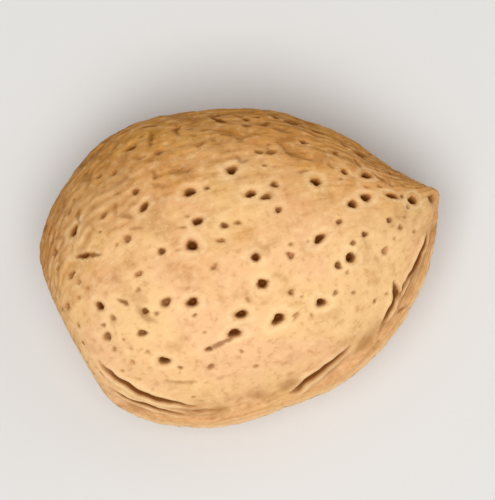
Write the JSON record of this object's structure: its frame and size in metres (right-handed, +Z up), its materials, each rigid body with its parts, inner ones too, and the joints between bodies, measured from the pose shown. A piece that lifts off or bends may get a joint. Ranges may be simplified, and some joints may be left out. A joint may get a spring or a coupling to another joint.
{
  "type": "almond in shell",
  "caption": "Almond in its hard pitted shell: broad and flattened, with a sharp keel, a rounded back and a short beak, lying on a broad face.",
  "frame": {"origin": "on the surface that the almond rests on, under the middle of its outline seen from above", "axes": "+X from the stem end to the beak, +Y from the sharp keel to the rounded back edge, +Z up through the two broad faces"},
  "size_m": [0.034, 0.028, 0.0179],
  "materials": {
    "shell": "matt, dry woody shell"
  },
  "bodies": {
    "root": {"almond": "shell"}
  },
  "joints": []
}
